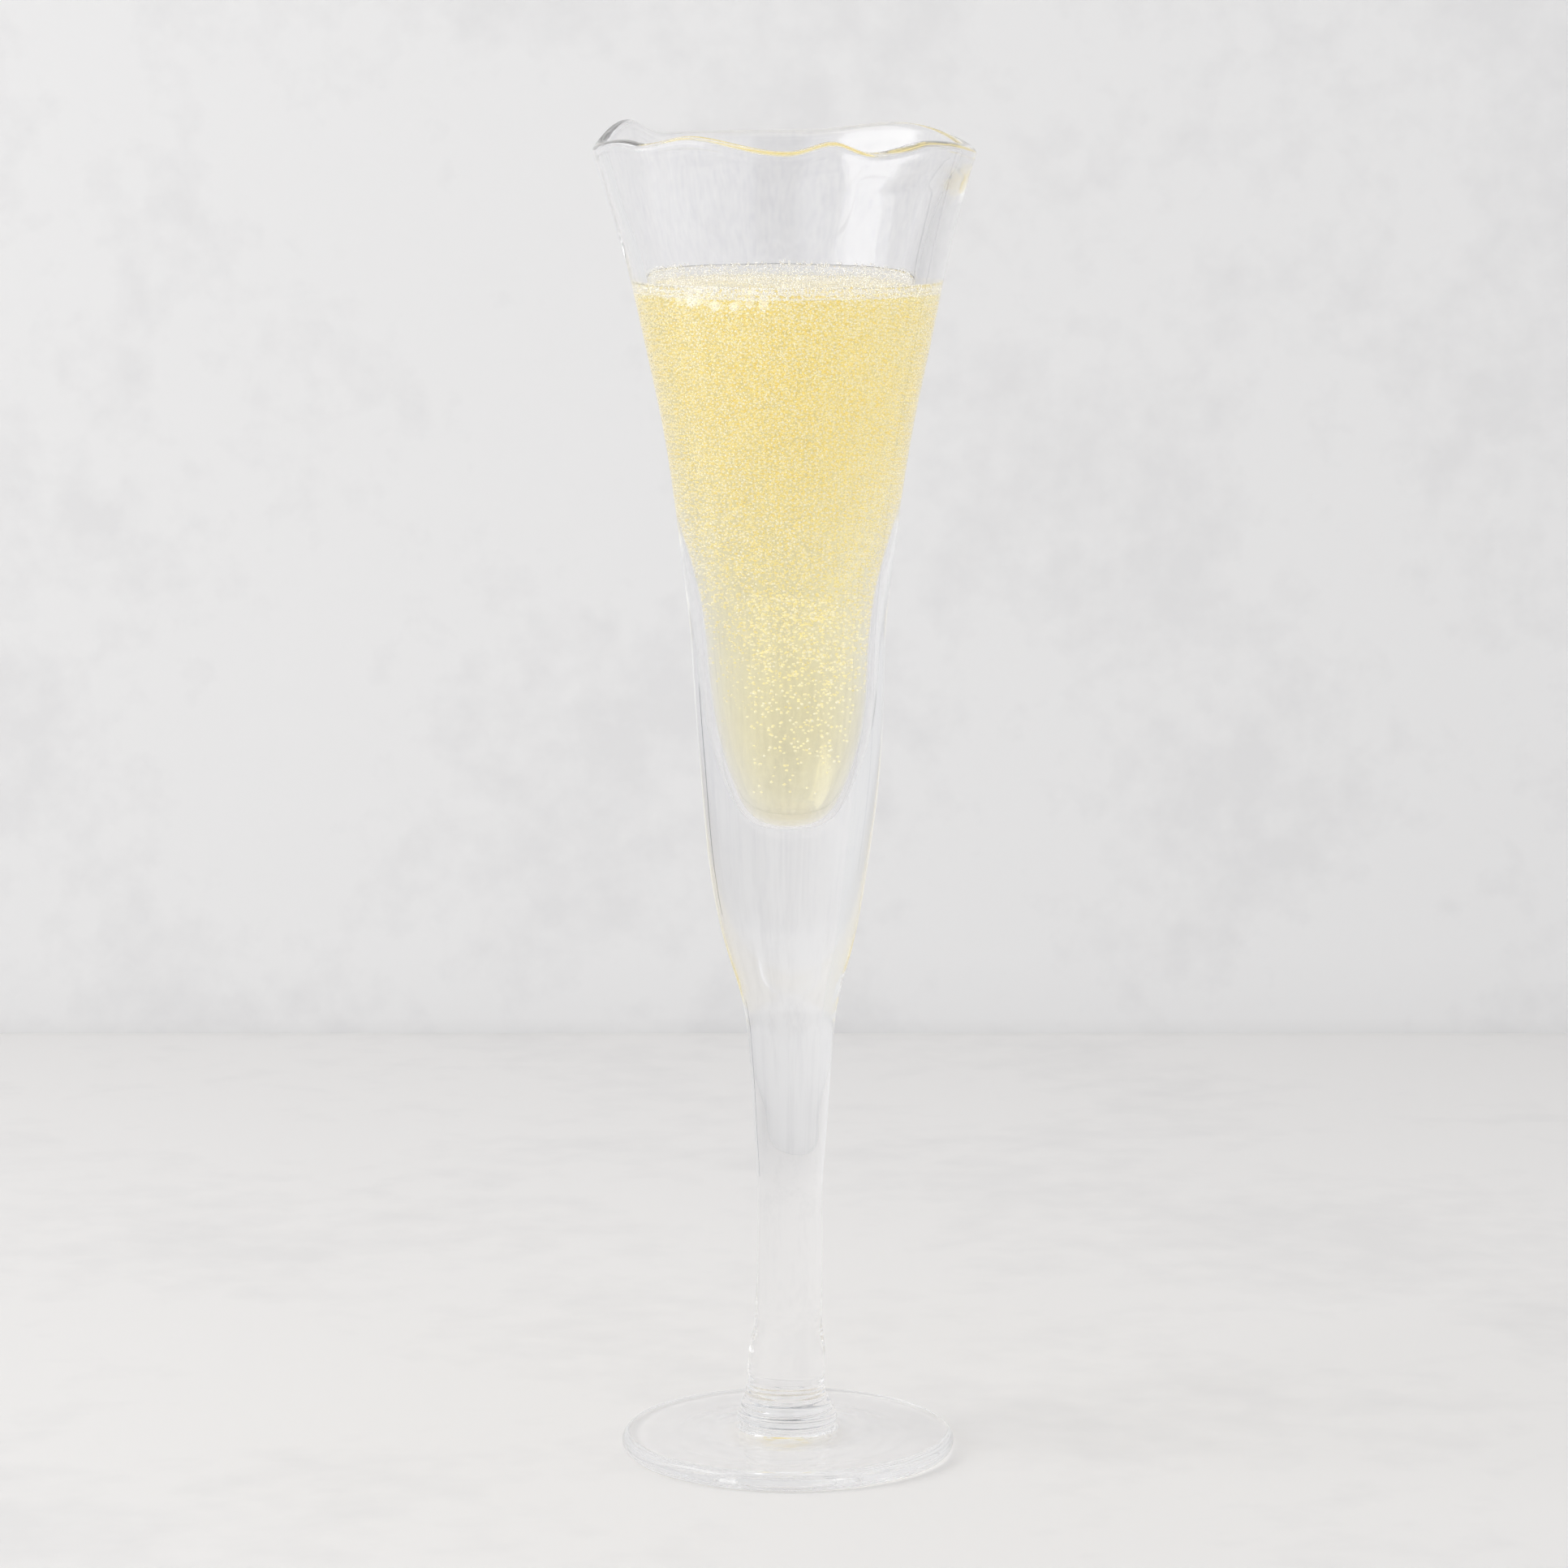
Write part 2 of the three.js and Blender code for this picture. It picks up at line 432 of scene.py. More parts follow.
def clear_glass(settings):
    """Clear glass with a slow hand-worked swell and, in the bowl, fine upright cords with a painted
    reflection tint.
    """
    material, nodes, surface = new_material("clear_glass")
    surface.inputs["Roughness"].default_value = 0
    surface.inputs["IOR"].default_value = settings.ior
    surface.inputs["Transmission Weight"].default_value = 1
    place = nodes.add("ShaderNodeTexCoord").outputs["Object"]
    long, fine = 0.012, 1100  # how far the cords are drawn out, and how fine they are
    drawn = nodes.add("ShaderNodeMapping", {"Vector": place, "Scale": (1, 1, long)})
    cords = nodes.add(
        "ShaderNodeTexNoise",
        {"Vector": drawn.outputs["Vector"], "Scale": fine, "Detail": 4, "Roughness": 0.7},
    )
    height = nodes.add("ShaderNodeSeparateXYZ", {"Vector": place}).outputs["Z"]
    no_cords, all_cords = 0.06, 0.13  # heights in metres
    low = nodes.add("ShaderNodeMapRange", {"Value": height, 1: no_cords, 2: all_cords, 3: 0.3, 4: 0})
    cord = nodes.add("ShaderNodeMath", {0: cords.outputs["Fac"], 1: low.outputs[0]}, operation="ADD")
    # The cords' lavender tint is painted reflection of the surroundings, laid into the glass's
    # colour.
    tint = nodes.ramp(cord.outputs[0], (0.33, settings.cord_reflection_tint), (0.55, settings.tint))
    nodes.tree.links.new(tint, surface.inputs["Base Color"])
    swell = nodes.add("ShaderNodeTexNoise", {"Vector": place, "Scale": 55, "Detail": 1})
    slow = nodes.add(
        "ShaderNodeBump",
        {"Strength": 1, "Distance": settings.swell_depth, "Height": swell.outputs["Fac"]},
    )
    nodes.tree.links.new(slow.outputs["Normal"], surface.inputs["Normal"])
    return material


def sparkling_wine(settings):
    """A pale gold liquid: clear at its skin, coloured by the depth of drink that light crosses."""
    material, nodes, surface = new_material("sparkling_wine")
    surface.inputs["Base Color"].default_value = (1, 1, 1, 1)
    surface.inputs["Roughness"].default_value = 0
    surface.inputs["IOR"].default_value = WINE_IOR
    surface.inputs["Transmission Weight"].default_value = 1
    place = nodes.add("ShaderNodeTexCoord").outputs["Object"]
    shimmer = nodes.add("ShaderNodeTexNoise", {"Vector": place, "Scale": 130, "Detail": 1})
    bump = nodes.add(
        "ShaderNodeBump",
        {"Strength": 1, "Distance": 0.02 * MM, "Height": shimmer.outputs["Fac"]},
    )
    nodes.tree.links.new(bump.outputs["Normal"], surface.inputs["Normal"])
    depth = nodes.add(
        "ShaderNodeVolumeAbsorption",
        {"Color": (*settings.colour, 1), "Density": settings.strength},
    )
    output = nodes.tree.nodes["Material Output"]
    nodes.tree.links.new(depth.outputs["Volume"], output.inputs["Volume"])
    return material


def gas_bubble(name, settings, light, share=1):
    """A gas bubble in the drink: a bright bead with a painted glow, a little different from one to
    the next.

    light is the colour of a painted glow that stands in for the light the bubbles pass on from one
    to the next, and share how much of it.
    """
    material, nodes, surface = new_material(name)
    place = nodes.add("ShaderNodeTexCoord").outputs["Object"]
    patches = nodes.add("ShaderNodeTexNoise", {"Vector": place, "Scale": 420, "Detail": 2})
    dull, bright = (0.35, settings.bubble_shade), (0.65, settings.bubble_light)
    colour = nodes.ramp(patches.outputs["Fac"], dull, bright)
    nodes.tree.links.new(colour, surface.inputs["Base Color"])
    surface.inputs["Roughness"].default_value = 0.12
    surface.inputs["IOR"].default_value = FILM_IOR
    # Painted glow: the bubbles give off light of their own, standing in for light passed between
    # them.
    surface.inputs["Emission Color"].default_value = (*light, 1)
    surface.inputs["Emission Strength"].default_value = share * settings.painted_bubble_glow
    return material


def wet_froth(name, clear, glow):
    """Froth beads: thin wet films, whitish, clear in part and with a painted glow.

    clear is how much of the light passes through, and glow the strength of a painted glow that
    stands in for what the beads pass on to each other.
    """
    material, nodes, surface = new_material(name)
    place = nodes.add("ShaderNodeTexCoord").outputs["Object"]
    patches = nodes.add("ShaderNodeTexNoise", {"Vector": place, "Scale": 300, "Detail": 2})
    colour = nodes.ramp(patches.outputs["Fac"], (0, (0.97, 0.96, 0.93)), (1, (1, 1, 1)))
    nodes.tree.links.new(colour, surface.inputs["Base Color"])
    surface.inputs["Roughness"].default_value = 0.06
    surface.inputs["IOR"].default_value = FILM_IOR
    surface.inputs["Transmission Weight"].default_value = clear
    # Painted glow, standing in for light that the beads pass on to each other.
    surface.inputs["Emission Color"].default_value = (1, 0.98, 0.92, 1)
    surface.inputs["Emission Strength"].default_value = glow
    return material


def plaster(name, light, shade, scale, corner, fade, see_through_back=False):
    """Pale mottled plaster with a little painted shade along the corner of the table and the wall.

    corner is the axis that leaves the corner and where the corner is on it; fade is how far the
    darker strip of painted shade reaches. With see_through_back the sheet shows only its front.
    """
    material, nodes, surface = new_material(name)
    place = nodes.add("ShaderNodeTexCoord").outputs["Object"]
    clouds = nodes.add(
        "ShaderNodeTexNoise",
        {"Vector": place, "Scale": scale, "Detail": 5, "Roughness": 0.6, "Distortion": 0.2},
    )
    specks = nodes.add("ShaderNodeTexNoise", {"Vector": place, "Scale": 9 * scale, "Detail": 3})
    blend = nodes.add(
        "ShaderNodeMath",
        {0: specks.outputs["Fac"], 1: 0.4, 2: clouds.outputs["Fac"]},
        operation="MULTIPLY_ADD",
    )
    colour = nodes.ramp(blend.outputs[0], (0.52, shade), (0.72, light))
    # Painted shade: the plaster darkens towards the corner, in a wide soft strip and a narrow line
    # along it.
    axis, start = corner
    apart = nodes.add("ShaderNodeSeparateXYZ", {"Vector": place}).outputs
    away = nodes.add("ShaderNodeMath", {0: apart[axis], 1: start}, operation="SUBTRACT")
    away = nodes.add("ShaderNodeMath", {0: away.outputs[0]}, operation="ABSOLUTE")
    wide = nodes.add("ShaderNodeMapRange", {"Value": away.outputs[0], 1: 0, 2: fade, 3: 0.97, 4: 1})
    shade_line_range = {"Value": away.outputs[0], 1: 0, 2: 4 * MM, 3: 0.965, 4: 1}
    shade_line = nodes.add("ShaderNodeMapRange", shade_line_range)
    corner_shade = nodes.times(wide.outputs[0], shade_line.outputs[0])
    tone = nodes.add("ShaderNodeVectorMath", {0: colour}, operation="SCALE")
    nodes.tree.links.new(corner_shade, tone.inputs["Scale"])
    nodes.tree.links.new(tone.outputs["Vector"], surface.inputs["Base Color"])
    surface.inputs["Roughness"].default_value = 0.7
    surface.inputs["Specular IOR Level"].default_value = 0.02
    if see_through_back:
        back = nodes.add("ShaderNodeNewGeometry").outputs["Backfacing"]
        clear = nodes.add("ShaderNodeBsdfTransparent").outputs["BSDF"]
        mix = nodes.add("ShaderNodeMixShader", {0: back, 1: surface.outputs["BSDF"], 2: clear})
        output = nodes.tree.nodes["Material Output"]
        nodes.tree.links.new(mix.outputs["Shader"], output.inputs["Surface"])
    return material


# ---------------------------------------------------------------------------------------------
# Beads by Geometry Nodes

BEAD_INPUTS = [
    ("Count", "NodeSocketInt", 100),
    ("Seed", "NodeSocketInt", 1),
    ("Low", "NodeSocketFloat", 0.0),
    ("High", "NodeSocketFloat", 1.0),
    ("Crowding", "NodeSocketFloat", 1.0),
    ("Inner share", "NodeSocketFloat", 0.0),
    ("Wall gap", "NodeSocketFloat", 0.0005),
    ("Spread", "NodeSocketFloat", 1.0),
    ("Lean", "NodeSocketFloat", 0.0),
    ("From angle", "NodeSocketFloat", 0.0),
    ("To angle", "NodeSocketFloat", 2 * math.pi),
    ("Smallest", "NodeSocketFloat", 0.0001),
    ("Largest", "NodeSocketFloat", 0.0002),
    ("Roundness", "NodeSocketInt", 1),
]


def new_tree(name, inputs):
    """A modifier's node tree with these named inputs, and the shorthand to fill it."""
    tree = bpy.data.node_groups.new(name, "GeometryNodeTree")
    tree.is_modifier = True
    for label, kind, *value in inputs:
        socket = tree.interface.new_socket(label, in_out="INPUT", socket_type=kind)
        if value:
            socket.default_value = value[0]
    tree.interface.new_socket("Geometry", in_out="OUTPUT", socket_type="NodeSocketGeometry")
    return tree, Nodes(tree)


def strew(nodes, given, places, material):
    """Ends a tree in beads at these places, made real, smooth and coated."""
    ball = {"Radius": 1.0, "Subdivisions": given["Roundness"]}
    bead = nodes.add("GeometryNodeMeshIcoSphere", ball)
    strewn = nodes.add("GeometryNodeInstanceOnPoints", {**places, "Instance": bead.outputs["Mesh"]})
    real = nodes.add("GeometryNodeRealizeInstances", {"Geometry": strewn.outputs[0]})
    even = nodes.add("GeometryNodeSetShadeSmooth", {"Geometry": real.outputs[0]})
    coat = {"Geometry": even.outputs[0], "Material": material}
    coated = nodes.add("GeometryNodeSetMaterial", coat)
    nodes.add("NodeGroupOutput", {"Geometry": coated.outputs[0]})


def bead_tree(name, material):
    """Beads strewn through the drink between two heights, given as shares of its depth.

    Crowding over 1 gathers them low and under 1 high. Inner share keeps them in the outer part of
    the hollow, and the angles keep them to a sector, from the front towards +X.
    """
    tree, nodes = new_tree(name, BEAD_INPUTS)
    given = nodes.add("NodeGroupInput").outputs

    def chance(salt, low=0.0, high=1.0):
        seed = nodes.add("ShaderNodeMath", {0: given["Seed"], 1: salt}, operation="ADD")
        return nodes.chance(low, high, seed.outputs[0])

    def sum_up(operation, *terms):
        inputs = dict(enumerate(terms))
        return nodes.add("ShaderNodeMath", inputs, operation=operation).outputs[0]

    crowded = sum_up("POWER", chance(1), given["Crowding"])
    rise = sum_up("SUBTRACT", given["High"], given["Low"])
    share = sum_up("MULTIPLY_ADD", crowded, rise, given["Low"])

    hollow = nodes.add("ShaderNodeFloatCurve", {"Value": share})
    side = cup_outline(200)
    widest = float(np.interp(DRINK_TOP, side[:, 1], side[:, 0]))
    line = hollow.mapping.curves[0]
    line.points[0].location = (0, 0.06)
    line.points[1].location = (1, 1)
    for step in (0.01, 0.03, 0.06, 0.1, 0.16, 0.24, 0.34, 0.44, 0.52, 0.6, 0.7, 0.8, 0.9):
        height = CUP_FLOOR + step * (DRINK_TOP - CUP_FLOOR)
        line.points.new(step, float(np.interp(height, side[:, 1], side[:, 0])) / widest)
    hollow.mapping.update()
    reach = sum_up("MULTIPLY", hollow.outputs["Value"], widest)
    reach = sum_up("SUBTRACT", reach, given["Wall gap"])
    core = sum_up("MULTIPLY", given["Inner share"], given["Inner share"])
    shell = sum_up("SUBTRACT", 1.0, core)
    out = sum_up("SQRT", sum_up("MULTIPLY_ADD", chance(2), shell, core))
    radius = sum_up("MULTIPLY", sum_up("MULTIPLY", reach, out), given["Spread"])
    turn = sum_up("SUBTRACT", given["To angle"], given["From angle"])
    angle = sum_up("MULTIPLY_ADD", chance(3), turn, given["From angle"])
    aside = sum_up("MULTIPLY", given["Lean"], reach)
    x = sum_up("MULTIPLY_ADD", sum_up("SINE", angle), radius, aside)
    y = sum_up("MULTIPLY", sum_up("COSINE", angle), sum_up("MULTIPLY", radius, -1.0))
    z = sum_up("MULTIPLY_ADD", share, DRINK_TOP - CUP_FLOOR, CUP_FLOOR)
    place = nodes.add("ShaderNodeCombineXYZ", {"X": x, "Y": y, "Z": z})
    points = nodes.add("GeometryNodePoints", {"Count": given["Count"], "Position": place.outputs[0]})
    size = chance(4, given["Smallest"], given["Largest"])
    strew(nodes, given, {"Points": points.outputs[0], "Scale": size}, material)
    return tree


CLING_INPUTS = [
    ("Surface", "NodeSocketGeometry"),
    ("Spacing", "NodeSocketFloat", 0.0007),
    ("Seed", "NodeSocketInt", 1),
    ("Smallest", "NodeSocketFloat", 0.0001),
    ("Largest", "NodeSocketFloat", 0.0002),
    ("Roundness", "NodeSocketInt", 1),
]


def cling_tree(name, material):
    """Evenly spaced beads that cling to a surface, as thickly as its "crowd" attribute says."""
    tree, nodes = new_tree(name, CLING_INPUTS)
    given = nodes.add("NodeGroupInput").outputs
    crowd = nodes.add("GeometryNodeInputNamedAttribute", {"Name": "crowd"}, data_type="FLOAT")
    plenty = 1.2e7  # to the square metre, before the spacing thins them
    points = nodes.add(
        "GeometryNodeDistributePointsOnFaces",
        {
            "Mesh": given["Surface"],
            "Distance Min": given["Spacing"],
            "Density Max": plenty,
            "Density Factor": crowd.outputs["Attribute"],
            "Seed": given["Seed"],
        },
        distribute_method="POISSON",
    )
    size = nodes.chance(given["Smallest"], given["Largest"], given["Seed"])
    places = {name: points.outputs[name] for name in ("Points", "Rotation")}
    strew(nodes, given, {**places, "Scale": size}, material)
    return tree


def beads(name, tree, material, surface=None, **inputs):
    """Runs a bead tree with these inputs and keeps the result as a plain piece."""
    surface = surface or bpy.data.meshes.new(name + "_carrier")
    carrier = bpy.data.objects.new(name + "_carrier", surface)
    bpy.context.scene.collection.objects.link(carrier)
    modifier = carrier.modifiers.new("beads", "NODES")
    modifier.node_group = tree
    sockets = {item.name: item for item in tree.interface.items_tree if item.in_out == "INPUT"}
    for label, value in inputs.items():
        socket = sockets[label.replace("_", " ").capitalize()]
        modifier[socket.identifier] = value
    bpy.context.view_layer.update()
    graph = bpy.context.evaluated_depsgraph_get()
    mesh = bpy.data.meshes.new_from_object(carrier.evaluated_get(graph))
    mesh.name = name
    bpy.data.objects.remove(carrier)
    return placed(name, mesh, material)


# ---------------------------------------------------------------------------------------------
# Settings


class FluteGlassSettings(PropertyGroup):
    """Sizes and colour of the glass."""

    lip_radius: FloatProperty(
        name="Lip radius",
        description="Mean outer radius of the lip",
        default=35.4 * MM,
        unit="LENGTH",
    )
    bead: FloatProperty(
        name="Lip thickness",
        description="Thickness of the fire-polished edge",
        default=3.1 * MM,
        unit="LENGTH",
    )
    segments: IntProperty(
        name="Segments",
        description="Straights round the turned glass",
        default=160,
        min=24,
    )
    tint: FloatVectorProperty(
        name="Tint",
        description="Colour of the glass",
        default=(0.998, 0.998, 1.0),
        subtype="COLOR",
        min=0,
        max=1,
    )
    ior: FloatProperty(
        name="Refraction",
        description="Index of refraction of the glass",
        default=1.51,
        min=1,
    )
    # Painted reflection: the lavender tint along the cords stands in for the surroundings mirrored
    # in them.
    cord_reflection_tint: FloatVectorProperty(
        name="Cord tint",
        description="Colour of the fine upright cords in the glass",
        default=(0.945, 0.945, 0.965),
        subtype="COLOR",
        min=0,
        max=1,
    )
    swell_depth: FloatProperty(
        name="Swell depth",
        description="Depth of the slow swell left by hand working",
        default=0.1 * MM,
        unit="LENGTH",
        precision=6,
    )


class FluteDrinkSettings(PropertyGroup):
    """Colour of the drink and how much gas rises in it."""

    colour: FloatVectorProperty(
        name="Colour",
        description="What the drink lets through",
        default=(0.992, 0.872, 0.13),
        subtype="COLOR",
        min=0,
        max=1,
    )
    strength: FloatProperty(
        name="Strength",
        description="How strongly the drink colours light, per metre",
        default=30.0,
        min=0,
    )
    soak: FloatProperty(
        name="Wetting",
        description="How far the drink reaches into the glass, so that no air is left between them",
        default=0.04 * MM,
        unit="LENGTH",
        precision=5,
    )
    bubble_light: FloatVectorProperty(
        name="Bubble light",
        description="Colour of the brightest bubbles",
        default=(1.0, 0.985, 0.89),
        subtype="COLOR",
        min=0,
        max=1,
    )
    bubble_shade: FloatVectorProperty(
        name="Bubble shade",
        description="Colour of the dullest bubbles",
        default=(0.98, 0.94, 0.77),
        subtype="COLOR",
        min=0,
        max=1,
    )
    # Painted glow of the bubbles, standing in for light that they pass on from one to the next.
    painted_bubble_glow: FloatProperty(
        name="Bubble glow",
        description="Light that the bubbles pass on from one to the next",
        default=0.085,
        min=0,
    )
    bubbles: IntProperty(
        name="Bubbles",
        description="Bubbles in one of the three clouds that fill the drink",
        default=9400,
        min=0,
        max=9500,
    )


class FluteStageSettings(PropertyGroup):
    """The table, the wall and the camera."""

    distance: FloatProperty(
        name="Camera distance",
        description="Level distance from the flute to the camera",
        default=1074 * MM,
        unit="LENGTH",
    )
    height: FloatProperty(
        name="Camera height",
        description="Height of the camera over the table",
        default=303 * MM,
        unit="LENGTH",
    )
    tilt: FloatProperty(
        name="Camera tilt",
        description="How far the camera looks down",
        default=math.radians(9.2),
        subtype="ANGLE",
    )
    lens: FloatProperty(
        name="Lens",
        description="Focal length of the camera",
        default=132.5,
        unit="CAMERA",
    )
    wall: FloatProperty(
        name="Wall distance",
        description="Distance from the flute to the wall behind it",
        default=393 * MM,
        unit="LENGTH",
    )
    dusk: FloatProperty(
        name="Dusk",
        description="How bright the dim patch of the room is, above and behind the camera",
        default=0.18,
        min=0,
        max=1,
    )


# ---------------------------------------------------------------------------------------------
# Operators


class FLUTE_OT_glass(Operator):
    """Make the glass: foot, collar, stem and bowl in one fused body"""

    bl_idname = "flute.glass"
    bl_label = "Blow the glass"

    def execute(self, context):
        settings = context.scene.flute_glass
        outside = np.vstack((outer_outline(), lip_outline(settings)))
        inside = cup_outline(CUP_ROWS)[::-1]
        outline = np.vstack((outside, inside, [(0, CUP_FLOOR)]))
        mesh = turned("flute_glass", outline, settings.segments, len(outside))
        piece = placed("flute_glass", mesh, clear_glass(settings))
        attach(piece, BODY)
        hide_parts(*GLASS_NODES)
        return {"FINISHED"}


class FLUTE_OT_drink(Operator):
    """Pour the drink, which wets the cup and climbs it a little at the rim"""

    bl_idname = "flute.drink"
    bl_label = "Pour the drink"

    def execute(self, context):
        settings = context.scene.flute_drink
        side = cup_outline(160)
        climb = FOAM_TOP + 0.5 * MM - DRINK_TOP
        side = side[side[:, 1] < DRINK_TOP + climb]
        brim = side[-1, 0]
        way = np.gradient(side, axis=0)
        out = np.column_stack((way[:, 1], -way[:, 0])) / np.linalg.norm(way, axis=1)[:, None]
        wet = side + settings.soak * out
        rim = np.linspace(0.05, 3.0, 14) * MM
        curl = np.column_stack((brim - rim, DRINK_TOP + climb * np.exp(-rim / (0.9 * MM))))
        flat = np.linspace((brim - 5 * MM, DRINK_TOP), (2 * MM, DRINK_TOP), 10)
        bottom = [(0, CUP_FLOOR - settings.soak)]
        outline = np.vstack((bottom, wet, curl, flat, [(0, DRINK_TOP)]))
        mesh = turned("drink_body", outline, 128, 1)
        piece = placed("drink_body", mesh, sparkling_wine(settings))
        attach(piece, BODY)
        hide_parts("drink")
        return {"FINISHED"}


class FLUTE_OT_bubbles(Operator):
    """Strew gas bubbles through the drink, crowded high up and in loose streams below"""

    bl_idname = "flute.bubbles"
    bl_label = "Raise the bubbles"

    def execute(self, context):
        settings = context.scene.flute_drink
        # Both bubble materials carry a painted glow: warm in the first, bluish white and 2.4 times
        # as strong in the second, worn by the stream and stray bubbles low in the drink.
        material = gas_bubble("gas_bubble", settings, (1, 0.97, 0.8))
        tree = bead_tree("gas_beads", material)
        strong_glow = gas_bubble("strong_glow_bubble", settings, (0.9, 0.96, 1), 2.4)
        strong_glow_tree = bead_tree("strong_glow_beads", strong_glow)
        tiny, small = (0.11 * MM, 0.21 * MM), (0.19 * MM, 0.27 * MM)
        # Name, low and high, crowding, share of the beads, inner share, lean, spread and sizes.
        fine = (0.16, 1.0, 0.36, 1.0, 0.0, 0.0, 0.94, tiny)
        clouds = [(f"bubbles_{letter}", *fine) for letter in "abc"]
        clouds.append(("bubbles_stream", 0.1, 0.44, 0.6, 0.07, 0.0, 0.2, 0.75, small))
        clouds.append(("bubbles_stray", 0.02, 0.26, 0.8, 0.005, 0.0, 0.1, 0.8, small))
        made = []
        for seed, (name, *row) in enumerate(clouds, 11):
            low, high, crowding, share, inner, lean, spread, size = row
            made.append(
                beads(
                    name,
                    tree if size is tiny else strong_glow_tree,
                    material if size is tiny else strong_glow,
                    count=int(settings.bubbles * share),
                    seed=seed,
                    low=low,
                    high=high,
                    crowding=crowding,
                    inner_share=inner,
                    wall_gap=0.45 * MM,
                    lean=lean,
                    spread=spread,
                    smallest=size[0],
                    largest=size[1],
                )
            )
        clinging = cling_tree("clinging_beads", material)
        side = cup_outline(160)
        side = side[(side[:, 1] > CUP_FLOOR + 8 * MM) & (side[:, 1] < DRINK_TOP)] - (0.27 * MM, 0)
        start, reach, slant = 146 * MM, 44 * MM, 0.35  # they thicken upwards, sooner on the right
        for seed, (name, way) in enumerate((("bubbles_front", -1), ("bubbles_rear", 1)), 21):

            def crowd(x, y, z, way=way):
                rise = smooth_step((z + slant * x - start) / reach)
                return np.where(way * y > -0.2 * MM, rise, 0)

            surface = cling_surface(name + "_carrier", side, crowd)
            made.append(
                beads(
                    name,
                    clinging,
                    material,
                    surface,
                    spacing=0.66 * MM,
                    seed=seed,
                    smallest=0.19 * MM,
                    largest=0.25 * MM,
                )
            )
        for piece in made:
            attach(piece, BODY)
        return {"FINISHED"}


class FLUTE_OT_froth(Operator):
    """Lay the froth on the drink: a fine raft, a collar along the wall and some larger bubbles"""

    bl_idname = "flute.froth"
    bl_label = "Lay the froth"

    def execute(self, context):
        # The last number of each is the strength of the froth's painted glow.
        material = wet_froth("wet_froth", 0.68, 0.05)
        film = wet_froth("froth_film", 0.85, 0.06)
        large = beads(
            "froth_large",
            bead_tree("froth_beads", film),
            film,
            count=22,
            seed=33,
            low=0.985,
            high=1.006,
            inner_share=0.93,
            wall_gap=0.9 * MM,
            from_angle=math.radians(-64),
            to_angle=math.radians(-10),
            smallest=0.6 * MM,
            largest=1.05 * MM,
            roundness=2,
        )
        clinging = cling_tree("clinging_froth", material)
        side = cup_outline(240)
        band = side[(side[:, 1] > DRINK_TOP - 0.6 * MM) & (side[:, 1] < FOAM_TOP + 1.0 * MM)]
        brim = float(np.interp(DRINK_TOP, side[:, 1], side[:, 0]))
        afloat = DRINK_TOP + 0.15 * MM
        raft = np.linspace((brim - 0.3 * MM, afloat), (0.5 * MM, afloat), 24)

        def patchy(x, y, z):
            edge = smooth_step((np.hypot(x, y) - 0.55 * brim) / (0.4 * brim))
            drift = np.sin(x / (4.1 * MM) + 1.3) * np.sin(y / (5.3 * MM) + 0.4)
            drift = drift + np.sin((x + y) / (2.7 * MM))
            return 0.2 + 0.75 * edge + 0.25 * drift

        def climbing(x, y, z):
            rear, front = 0.8 * MM, -0.1 * MM  # how far the froth passes the foam's top
            top = FOAM_TOP + np.where(y > 0, rear, front)
            return np.where(z < top, 0.9, 0)

        # Name, outline, crowding, and the spacing, smallest and largest radius in millimetres.
        groups = [
            ("froth_collar", band - (0.34 * MM, 0), climbing, 0.44, 0.22, 0.34),
            ("froth_raft", raft, patchy, 0.46, 0.15, 0.3),
        ]
        made = [large]
        for seed, (name, outline, crowd, spacing, small, wide) in enumerate(groups, 41):
            surface = cling_surface(name + "_carrier", outline, crowd)
            made.append(
                beads(
                    name,
                    clinging,
                    material,
                    surface,
                    spacing=spacing * MM,
                    seed=seed,
                    smallest=small * MM,
                    largest=wide * MM,
                )
            )
        for piece in made:
            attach(piece, BODY)
        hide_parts("foam")
        return {"FINISHED"}


